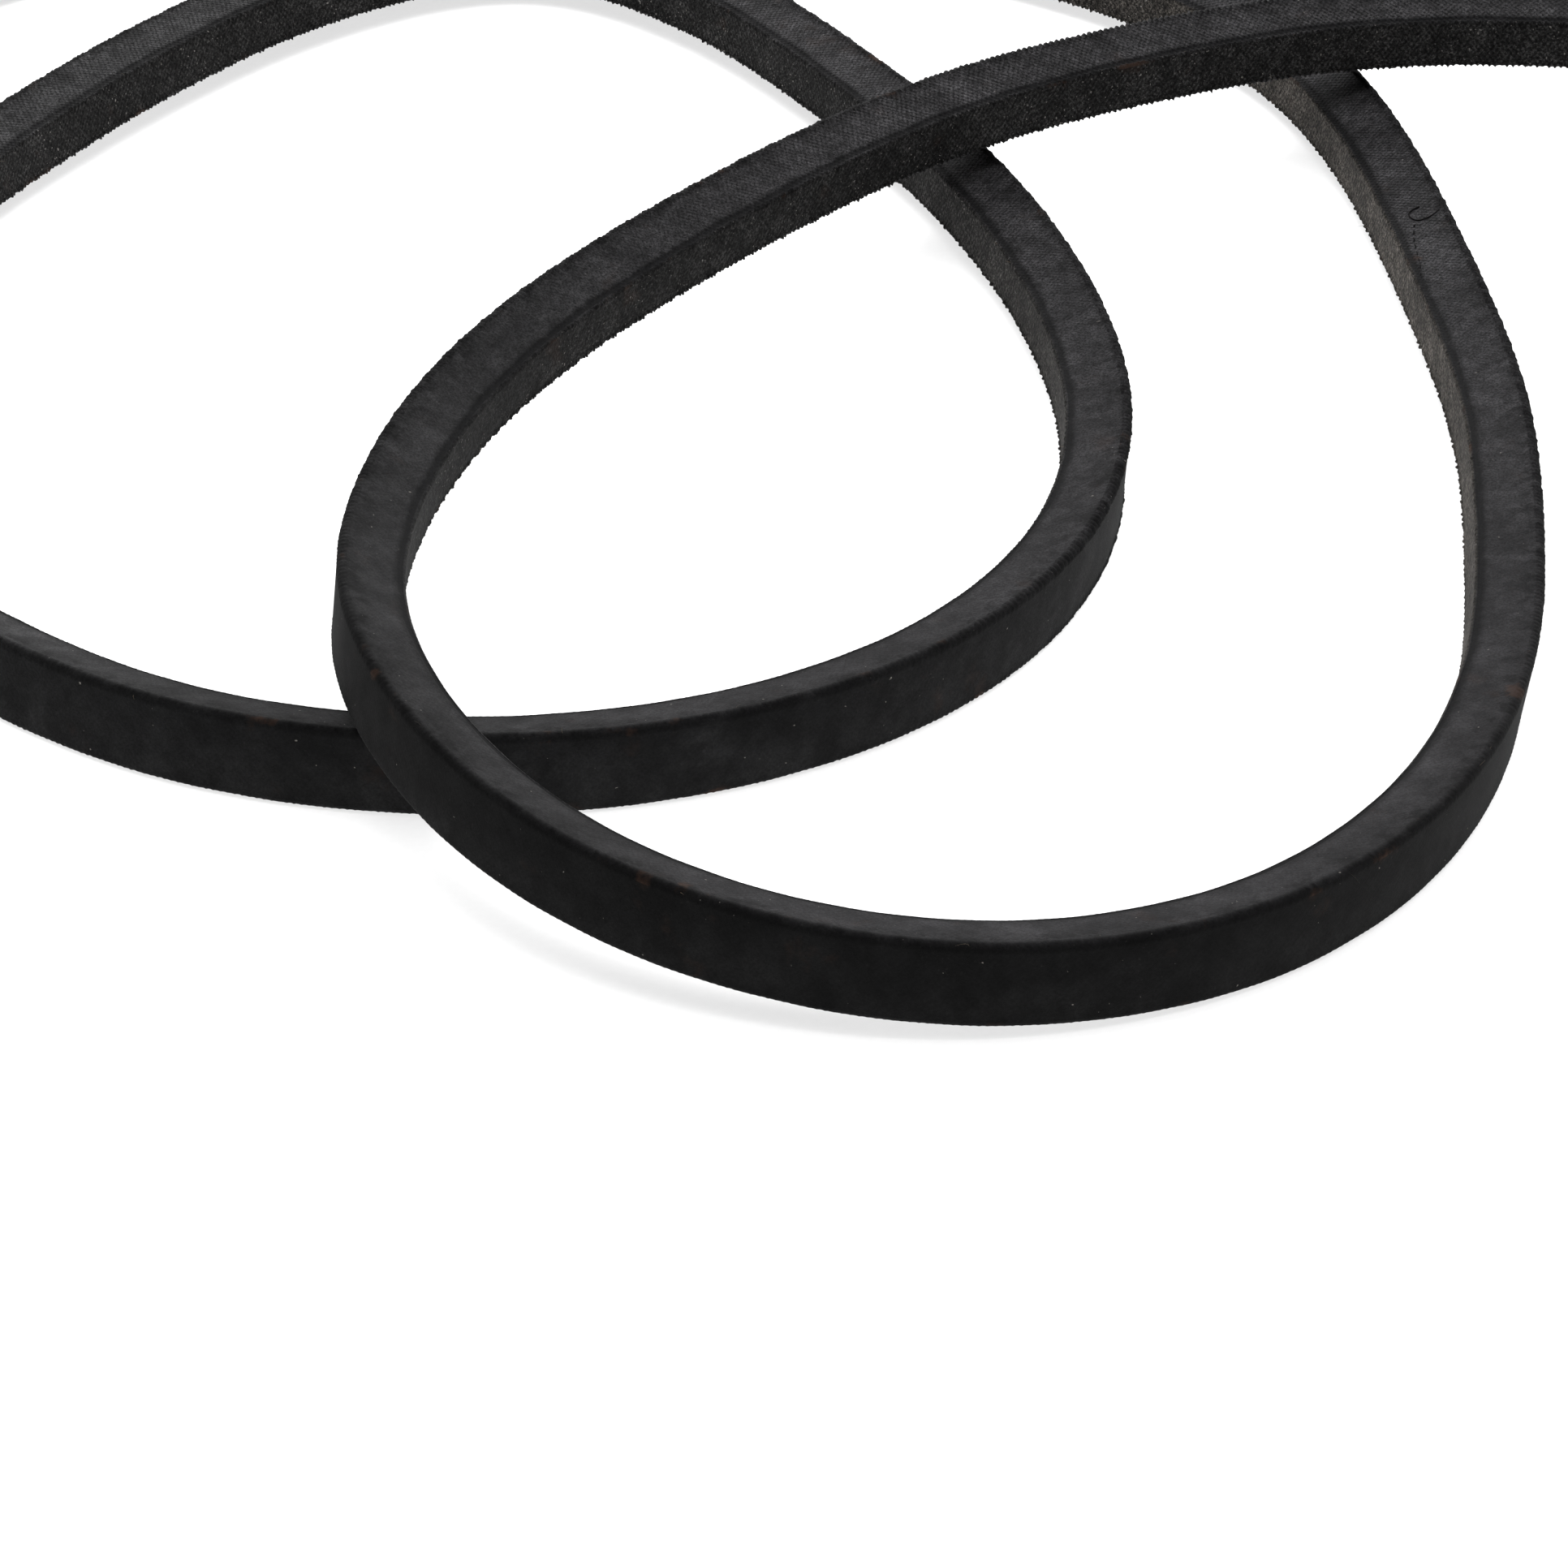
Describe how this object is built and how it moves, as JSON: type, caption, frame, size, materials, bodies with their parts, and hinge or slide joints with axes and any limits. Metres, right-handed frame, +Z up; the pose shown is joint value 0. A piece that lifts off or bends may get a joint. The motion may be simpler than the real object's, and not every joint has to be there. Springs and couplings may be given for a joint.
{
  "type": "v belt",
  "caption": "Wrapped V-belt with a trapezoidal section, built in layers and coiled in loops on its side.",
  "frame": {"origin": "on the floor, under the middle of the coil's bounding box", "axes": "+Z up, out of the coil; +Y from the coil's open front loop towards its two small loops; +X to the right"},
  "size_m": [0.4243, 0.5079, 0.0271],
  "materials": {
    "cover_outer": "matte rubberised weave",
    "cover_inner": "matte rubberised weave",
    "rubber": "matte",
    "cushion": "matte",
    "cord": "twisted yarn"
  },
  "bodies": {
    "root": {"cover_outer_ply": "cover_outer", "cover_inner_ply": "cover_inner", "top_rubber": "rubber", "cord_cushion_outer": "cushion", "tensile_cord_turn_1": "cord", "tensile_cord_turn_2": "cord", "tensile_cord_turn_3": "cord", "tensile_cord_turn_4": "cord", "tensile_cord_turn_5": "cord", "tensile_cord_turn_6": "cord", "tensile_cord_turn_7": "cord", "cord_cushion_inner": "cushion", "compression_rubber": "rubber"}
  },
  "joints": []
}
